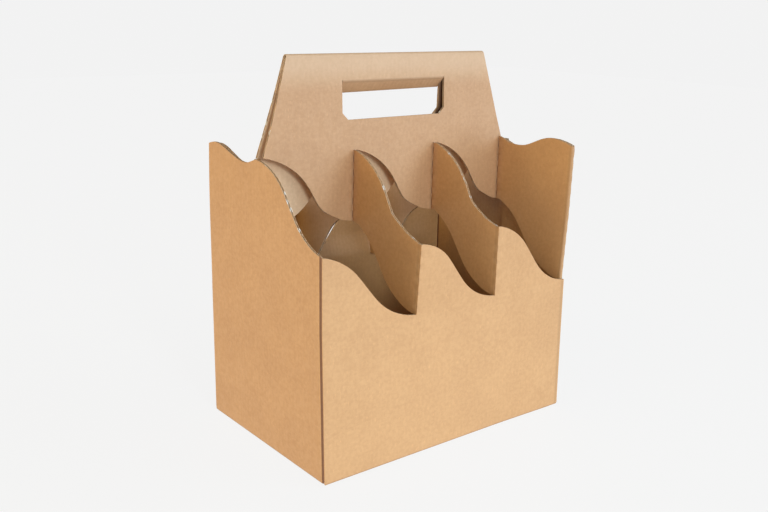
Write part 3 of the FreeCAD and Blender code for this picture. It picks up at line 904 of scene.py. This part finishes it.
def cut_hole(sheet, top, s, wider=0.0, lower=0.0):
    """The hand hole, with a corner cut off at each lower end.

    The front one is wider to the right, the rear one lower.
    """
    bottom = Heights(s).hole_bottom - lower
    left, right = -s.hole_width / 2, s.hole_width / 2 + wider
    for side, end in ((-1, left), (1, right)):
        cut(sheet, (end, 0, bottom), (side, 0, 0))
        cut(sheet, (end, 0, bottom + s.hole_chamfer), (side, 0, -1))
    cut(sheet, (0, 0, bottom), (0, 0, 1))
    cut(sheet, (0, 0, top), (0, 0, 1))

    def in_hole(centre):
        beside = min(centre.x - left, right - centre.x)
        above = centre.z - bottom
        in_corner = beside + above < s.hole_chamfer
        return beside > 0 and above > 0 and centre.z < top and not in_corner

    delete_faces(sheet, in_hole)


def trim_flap(sheet, s):
    """Cut the corners off the hand flap's turned-up end."""
    tip = max((v.co for v in sheet.data.vertices if v.co.y > 0), key=lambda place: place.z)
    left = s.kerf + s.hole_chamfer - s.hole_width / 2
    right = s.hole_width / 2 + s.hole_wider - s.kerf - s.hole_chamfer
    up = (math.sin(s.flap_lean), math.cos(s.flap_lean))
    for side, end in ((-1, left), (1, right)):
        cut(sheet, (end, tip.y, tip.z), (side, *up), clear=True)


def turn_half(sheet):
    """Turn a sheet half a turn about the Z axis."""
    only(sheet)
    bpy.ops.transform.rotate(value=math.pi, orient_axis="Z", center_override=(0, 0, 0))
    bpy.ops.object.transform_apply(location=True, rotation=True, scale=True)


def half_turned(sheet):
    """A copy of a sheet, turned half a turn about the Z axis."""
    only(sheet)
    bpy.ops.object.duplicate()
    copy = bpy.context.active_object
    turn_half(copy)
    return copy


def joined(sheets, name):
    """Join sheets into one object and weld where their points meet."""
    bpy.ops.object.select_all(action="DESELECT")
    for sheet in sheets:
        sheet.select_set(True)
    bpy.context.view_layer.objects.active = sheets[0]
    bpy.ops.object.join()
    piece = bpy.context.active_object
    piece.name = piece.data.name = name
    bpy.ops.object.transform_apply(location=True, rotation=True, scale=True)
    edit_faces(piece, lambda: bpy.ops.mesh.remove_doubles(threshold=WELD))
    return piece


def half_board(ply, s, rear=False):
    """Every sheet of the front half as one ply, or of the rear half, turned into place."""
    end_drop = s.end_lower if rear else 0
    surfaces = [lower_walls(ply, s), lower_glue_flap(ply, s), left_upper_wall(ply, s, end_drop)]
    surfaces += [divider(ply, cell, s, rear) for cell in range(CELLS_PER_ROW)]
    surfaces += [floor_panel(ply, s)]
    sheets = [lay(surface, ply, s) for surface in surfaces]
    if rear:
        for sheet in sheets:
            turn_half(sheet)
    return sheets


def handle_sheets(ply, s):
    """Both handle panels and the hand flap, as one ply."""
    panel = lay(handle_panel(ply, s), ply, s)
    rear = half_turned(panel)
    for sheet in (panel, rear):
        trim_panel(sheet, s)
    cut_hole(panel, hinge_height(s), s, wider=s.hole_wider)
    cut_hole(rear, Heights(s).hole_top, s, lower=s.hole_lower)
    flap = lay(hand_flap(ply, s), ply, s)
    trim_flap(flap, s)
    return [panel, rear, flap]


def whole_liner(ply, s):
    """Both halves of the board and the handle, as one liner."""
    sheets = half_board(ply, s) + half_board(ply, s, rear=True) + handle_sheets(ply, s)
    return joined(sheets, ply)


def thickened(piece, thickness, offset):
    """Give a ply its paper's thickness, its cut edges in the second material."""
    only(piece)
    solidify = piece.modifiers.new("thickness", "SOLIDIFY")
    solidify.thickness = thickness
    solidify.offset = offset
    solidify.use_even_offset = True
    solidify.thickness_clamp = 0.5
    solidify.material_offset_rim = 1
    bpy.ops.object.modifier_apply(modifier=solidify.name)


def finish_ply(piece, materials, thickness, offset, s):
    """Settle a joined ply, thicken it and hand it to the frame."""
    for material in materials:
        piece.data.materials.append(material)
    points = np.zeros(len(piece.data.vertices) * 3, np.float32)
    piece.data.vertices.foreach_get("co", points)
    pull = np.zeros(len(piece.data.vertices), np.float32)
    piece.data.attributes["pull"].data.foreach_get("value", pull)
    moved = settle(points.reshape(-1, 3).astype(float), pull, s)
    piece.data.vertices.foreach_set("co", moved.astype(np.float32).ravel())
    thickened(piece, thickness, offset)
    only(piece)
    bpy.ops.object.shade_smooth_by_angle(angle=math.radians(SMOOTH_ANGLE))
    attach(piece, "root")


# ---------------------------------------------------------------- materials

class Nodes:
    """A material's node tree, with short calls for the nodes that papers use."""

    def __init__(self, name):
        self.material = bpy.data.materials.get(name) or bpy.data.materials.new(name)
        self.material.use_nodes = True
        self.tree = self.material.node_tree
        self.shader = self.tree.nodes["Principled BSDF"]
        self.place = self.add("ShaderNodeTexCoord").outputs["Object"]

    def add(self, kind, **settings):
        node = self.tree.nodes.new(kind)
        for key, value in settings.items():
            setattr(node, key, value)
        return node

    def link(self, source, target):
        self.tree.links.new(source, target)

    def feed(self, value, socket):
        if isinstance(value, bpy.types.NodeSocket):
            self.link(value, socket)
        else:
            socket.default_value = value

    def stretched(self, scale):
        node = self.add("ShaderNodeMapping")
        node.inputs["Scale"].default_value = scale
        self.link(self.place, node.inputs["Vector"])
        return node.outputs["Vector"]

    def noise(self, scale, detail=2.0, stretch=(1, 1, 1), roughness=0.5):
        node = self.add("ShaderNodeTexNoise")
        node.inputs["Scale"].default_value = scale
        node.inputs["Detail"].default_value = detail
        node.inputs["Roughness"].default_value = roughness
        self.link(self.stretched(stretch), node.inputs["Vector"])
        return node.outputs["Fac"]

    def ramp(self, value, low, high, bottom=0.0, top=1.0):
        node = self.add("ShaderNodeMapRange", interpolation_type="SMOOTHSTEP")
        for socket, number in zip(("From Min", "From Max", "To Min", "To Max"),
                                  (low, high, bottom, top)):
            node.inputs[socket].default_value = number
        self.feed(value, node.inputs["Value"])
        return node.outputs["Result"]

    def math(self, operation, first, second=0.0):
        node = self.add("ShaderNodeMath", operation=operation)
        self.feed(first, node.inputs[0])
        self.feed(second, node.inputs[1])
        return node.outputs["Value"]

    def mix(self, share, first, second, blend="MIX"):
        node = self.add("ShaderNodeMix", data_type="RGBA", blend_type=blend)
        self.feed(share, node.inputs["Factor"])
        for value, socket in ((first, node.inputs[6]), (second, node.inputs[7])):
            if not isinstance(value, bpy.types.NodeSocket):
                value = (*value, 1.0)
            self.feed(value, socket)
        return node.outputs[2]

    def attribute(self, name):
        return self.add("ShaderNodeAttribute", attribute_name=name).outputs["Fac"]

    def bump(self, height, strength, distance, normal=None):
        node = self.add("ShaderNodeBump")
        node.inputs["Strength"].default_value = strength
        node.inputs["Distance"].default_value = distance
        self.link(height, node.inputs["Height"])
        if normal is not None:
            self.link(normal, node.inputs["Normal"])
        return node.outputs["Normal"]

    def finish(self, base, roughness, normal=None):
        self.feed(base, self.shader.inputs["Base Color"])
        self.feed(roughness, self.shader.inputs["Roughness"])
        self.shader.inputs["Specular IOR Level"].default_value = 0.8
        if normal is not None:
            self.link(normal, self.shader.inputs["Normal"])
        return self.material


PAINTED_SHADE_SHARE = (0.32, 0.2, 0.1)        # share of a paper's deep colour left in painted shade: creases, slits and beside the hand hole
TOP_HIGHLIGHT = (0.86, 0.66, 0.46)       # painted highlight: the paler colour near the handle's top
TOP_HIGHLIGHT_BAND = (25 * MM, 5 * MM)   # how far below the top the painted highlight begins and is full
NICK = (0.98, 0.95, 0.9)          # bare fibres at a torn nick


def liner_paper(name, base, deep, handle_painted_light, lean_start, fold_tint, stripes, s):
    """Kraft liner: cloudy pulp, short fibres, flecks and the flutes showing through, with
    painted light and shade.
    """
    nodes = Nodes(name)
    clouds = nodes.noise(38, detail=3)
    mottle = nodes.noise(420, detail=3, roughness=0.6)
    fibres = nodes.noise(900, stretch=(0.35, 0.35, 1))
    threads = nodes.noise(1500, stretch=(1, 1, 0.25))
    flecks = nodes.noise(1150, detail=1)
    pulp = nodes.math("ADD", nodes.ramp(clouds, 0.3, 0.7, top=0.26),
                      nodes.ramp(mottle, 0.34, 0.66, top=0.32))
    pulp = nodes.math("ADD", pulp, nodes.ramp(fibres, 0.4, 0.7, top=0.16))
    paper = nodes.mix(pulp, base, deep)
    light = tuple(min(1.0, value * 1.28) for value in base)
    paper = nodes.mix(nodes.ramp(threads, 0.6, 0.8, top=0.5), paper, light)
    paper = nodes.mix(nodes.ramp(flecks, 0.74, 0.8, top=0.55), paper, deep)
    fold = nodes.attribute("fold")
    flutes = nodes.math("MULTIPLY", nodes.attribute("along"), 2 * math.pi / s.flute_pitch)
    open_board = nodes.math("SUBTRACT", 1.0, nodes.math("MINIMUM", fold, 1.0))
    wave = nodes.math("MULTIPLY", nodes.math("SINE", flutes), open_board)
    paper = nodes.mix(nodes.ramp(wave, -1.0, 1.0, top=stripes), paper, deep)
    # Darker paper in the folds, by how much of a fold each point is in
    fold_share = nodes.math("MULTIPLY", nodes.ramp(fold, 0.35, 1.0), 0.55)
    paper = nodes.mix(fold_share, paper, fold_tint)
    # Painted light: the faces that follow the handle are multiplied by the handle tint, paler
    # and cooler as if better lit
    lean = nodes.ramp(nodes.attribute("pull"), lean_start, 1.0)
    paper = nodes.mix(lean, paper, handle_painted_light, "MULTIPLY")
    # Painted shade, darker in creases, in the slits and beside the hand hole
    painted_shade_colour = tuple(share * value for share, value in zip(PAINTED_SHADE_SHARE, deep))
    paper = nodes.mix(nodes.ramp(nodes.attribute("dent_and_painted_shade"), 0.1, 0.6, top=0.9), paper, painted_shade_colour)
    # Painted highlight, paler towards the handle's top
    height = nodes.add("ShaderNodeSeparateXYZ")
    nodes.link(nodes.place, height.inputs["Vector"])
    start, full = (s.handle_top - below for below in TOP_HIGHLIGHT_BAND)
    top_highlight = nodes.ramp(height.outputs["Z"], start, full, top=0.32)
    paper = nodes.mix(top_highlight, paper, TOP_HIGHLIGHT)
    ripple = nodes.bump(wave, strength=0.35, distance=0.05 * MM)
    rough = nodes.math("ADD", mottle, nodes.math("MULTIPLY", threads, 0.7))
    grain = nodes.bump(rough, strength=0.5, distance=0.06 * MM, normal=ripple)
    roughness = nodes.ramp(mottle, 0.3, 0.7, bottom=0.5, top=0.62)
    return nodes.finish(paper, roughness, grain)


def cut_edge(colours):
    """The raw edge of a cut liner, pale and fibrous, made once for every ply."""
    made = bpy.data.materials.get("cut_edge")
    if made:
        return made
    nodes = Nodes("cut_edge")
    tufts = nodes.noise(1400)
    spots = nodes.noise(260)
    share = nodes.math("ADD", nodes.ramp(tufts, 0.35, 0.65, top=0.4),
                       nodes.ramp(spots, 0.35, 0.65, top=0.45))
    paper = nodes.mix(share, tuple(colours.torn), tuple(colours.outer))
    cells = nodes.add("ShaderNodeTexVoronoi")
    cells.inputs["Scale"].default_value = 150
    nodes.link(nodes.place, cells.inputs["Vector"])
    nicks = nodes.ramp(cells.outputs["Distance"], 0.2, 0.3, bottom=1.0, top=0.0)
    paper = nodes.mix(nicks, paper, NICK)
    return nodes.finish(paper, 0.95, nodes.bump(tufts, strength=0.8, distance=0.1 * MM))


def fluted_paper(colours):
    """The fluted paper: browner and rougher than the liners."""
    nodes = Nodes("fluting_paper")
    pulp = nodes.noise(700, detail=3)
    deep = tuple(0.7 * value for value in colours.flutes)
    paper = nodes.mix(nodes.ramp(pulp, 0.3, 0.7), tuple(colours.flutes), deep)
    return nodes.finish(paper, 0.92, nodes.bump(pulp, strength=0.6, distance=0.08 * MM))


# ---------------------------------------------------------------- operators

class CARRIER_OT_outer_liner(bpy.types.Operator):
    """The warm kraft paper on the outside of every panel"""
    bl_idname = "carrier.outer_liner"
    bl_label = "Outer liner"

    def execute(self, context):
        s = context.scene.carrier_sizes
        c = context.scene.board_colours
        piece = whole_liner(OUTER, s)
        fold_tint = tuple(0.8 * value for value in c.outer_deep)
        # The handle tint is painted light: the handle's faces a little paler and cooler
        face = liner_paper("outer_kraft", tuple(c.outer), tuple(c.outer_deep),
                           handle_painted_light=(0.975, 0.995, 1.16), lean_start=0.9,
                           fold_tint=fold_tint, stripes=0.06, s=s)
        finish_ply(piece, [face, cut_edge(c)], s.liner, -1, s)
        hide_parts(NODE)
        return {"FINISHED"}


class CARRIER_OT_inner_liner(bpy.types.Operator):
    """The greyer paper on the inside of every panel"""
    bl_idname = "carrier.inner_liner"
    bl_label = "Inner liner"

    def execute(self, context):
        s = context.scene.carrier_sizes
        c = context.scene.board_colours
        piece = whole_liner(INNER, s)
        # The handle tint is painted light: the faces that follow the handle paler and greyer,
        # as if well lit
        face = liner_paper("inner_kraft", tuple(c.inner), tuple(c.inner_deep),
                           handle_painted_light=(1.73, 2.25, 3.8), lean_start=0.0,
                           fold_tint=tuple(c.inner_deep), stripes=0.16, s=s)
        finish_ply(piece, [face, cut_edge(c)], s.liner, -1, s)
        return {"FINISHED"}


class CARRIER_OT_fluting(bpy.types.Operator):
    """The fluted paper between the liners"""
    bl_idname = "carrier.fluting"
    bl_label = "Fluting"

    def execute(self, context):
        s = context.scene.carrier_sizes
        c = context.scene.board_colours
        materials = [fluted_paper(c), cut_edge(c)]
        front = joined(half_board(FLUTING, s), "fluting_front")
        rear = joined(half_board(FLUTING, s, rear=True), "fluting_rear")
        handle = joined(handle_sheets(FLUTING, s), "fluting_handle")
        for piece in (front, rear, handle):
            finish_ply(piece, materials, s.medium, 0, s)
        return {"FINISHED"}


class CARRIER_OT_studio(bpy.types.Operator):
    """The floor, the lights and the camera"""
    bl_idname = "carrier.studio"
    bl_label = "Studio"

    def execute(self, context):
        studio = context.scene.studio_settings
        colours = context.scene.board_colours
        bpy.ops.object.select_all(action="DESELECT")
        bpy.ops.mesh.primitive_plane_add(size=6, location=(0, 0, 0))
        floor = bpy.context.active_object
        floor.name = "studio_floor"
        nodes = Nodes("studio_paint")
        nodes.shader.inputs["Emission Color"].default_value = (1, 1, 1, 1)
        nodes.shader.inputs["Emission Strength"].default_value = studio.floor_glow
        floor.data.materials.append(nodes.finish((*colours.floor, 1.0), 0.9))
        add_light("front", (-0.3, -1.62, 0.6), 0.5, studio.front, studio.cool, "SPOT")
        add_light("key", (0.8, -0.9, 1.25), 0.9, studio.key, studio.cool)
        add_light("low_key", (1.0, -1.25, 0.3), 0.9, studio.low_key, studio.cool)
        add_light("fill", (-1.4, 0.2, 0.12), 0.6, studio.fill, studio.warm)
        add_light("high_fill", (-1.1, -0.1, 1.2), 0.8, studio.high_fill, studio.warm)
        add_surround(context.scene, studio)
        context.scene.view_settings.view_transform = "Standard"
        add_camera(context.scene)
        return {"FINISHED"}


AIM_HEIGHT = {"AREA": 0.1, "SPOT": -0.1}   # the height that each kind of light looks at
SPOT_ANGLE = 32                            # in degrees
CAMERA_PLACE = (-0.3846, -0.4742, 0.2761)
CAMERA_WAY = (38.571, 15.139, 1.18)        # in degrees: turned right, tipped down, rolled
CAMERA_LENS = 43.07


def add_surround(scene, studio):
    """Even light from all round, before a brighter plain backdrop."""
    world = bpy.data.worlds.new("studio_surround")
    world.use_nodes = True
    tree = world.node_tree
    background = tree.nodes["Background"]
    background.inputs["Color"].default_value = (1, 1, 1, 1)
    seen = tree.nodes.new("ShaderNodeLightPath")
    strength = tree.nodes.new("ShaderNodeMapRange")
    strength.inputs["To Min"].default_value = studio.surround
    strength.inputs["To Max"].default_value = studio.backdrop
    tree.links.new(seen.outputs["Is Camera Ray"], strength.inputs["Value"])
    tree.links.new(strength.outputs["Result"], background.inputs["Strength"])
    scene.world = world


def add_light(name, place, size, energy, tint, kind="AREA"):
    """A soft light aimed at the carrier, or a spot aimed low, which fades towards its top."""
    bpy.ops.object.light_add(type=kind, location=place)
    light = bpy.context.active_object
    light.name = name
    light.data.energy = energy
    light.data.color = tint
    if kind == "SPOT":
        light.data.shadow_soft_size = size / 2
        light.data.spot_size = math.radians(SPOT_ANGLE)
        light.data.spot_blend = 1.0
    else:
        light.data.size = size
    aim = Vector((0, 0, AIM_HEIGHT[kind])) - Vector(place)
    light.rotation_mode = "QUATERNION"
    light.rotation_quaternion = aim.to_track_quat("-Z", "Y")


def add_camera(scene):
    """The camera, a little to the left of the front corner and above the handle."""
    bpy.ops.object.camera_add(location=CAMERA_PLACE)
    camera = bpy.context.active_object
    camera.name = "camera"
    camera.data.lens = CAMERA_LENS
    camera.data.sensor_width = 36
    across, down, roll = (math.radians(turn) for turn in CAMERA_WAY)
    ahead = Vector((math.sin(across) * math.cos(down), math.cos(across) * math.cos(down),
                    -math.sin(down)))
    camera.rotation_mode = "QUATERNION"
    level = ahead.to_track_quat("-Z", "Y")
    camera.rotation_quaternion = level @ Quaternion((0, 0, 1), roll)
    scene.camera = camera


class CARRIER_PT_panel(bpy.types.Panel):
    """The carrier's pieces and sizes"""
    bl_idname = "CARRIER_PT_panel"
    bl_label = "Bottle carrier"
    bl_space_type = "VIEW_3D"
    bl_region_type = "UI"
    bl_category = "Carrier"

    def draw(self, context):
        layout = self.layout
        for operator in OPERATORS:
            layout.operator(operator.bl_idname)
        for group in (context.scene.carrier_sizes, context.scene.board_colours,
                      context.scene.studio_settings):
            for name in group.bl_rna.properties.keys():
                if name not in ("name", "rna_type"):
                    layout.prop(group, name)


OPERATORS = (
    CARRIER_OT_outer_liner,
    CARRIER_OT_inner_liner,
    CARRIER_OT_fluting,
    CARRIER_OT_studio,
)
GROUPS = {
    "carrier_sizes": CarrierSizes,
    "board_colours": BoardColours,
    "studio_settings": StudioSettings,
}


def register():
    for group in GROUPS.values():
        bpy.utils.register_class(group)
    for name, group in GROUPS.items():
        setattr(bpy.types.Scene, name, PointerProperty(type=group))
    for item in OPERATORS + (CARRIER_PT_panel,):
        bpy.utils.register_class(item)


def unregister():
    for item in (CARRIER_PT_panel,) + OPERATORS:
        bpy.utils.unregister_class(item)
    for name, group in GROUPS.items():
        delattr(bpy.types.Scene, name)
        bpy.utils.unregister_class(group)


def main():
    register()
    bpy.ops.carrier.outer_liner()
    bpy.ops.carrier.inner_liner()
    bpy.ops.carrier.fluting()
    bpy.ops.carrier.studio()


if __name__ == "__main__":
    main()
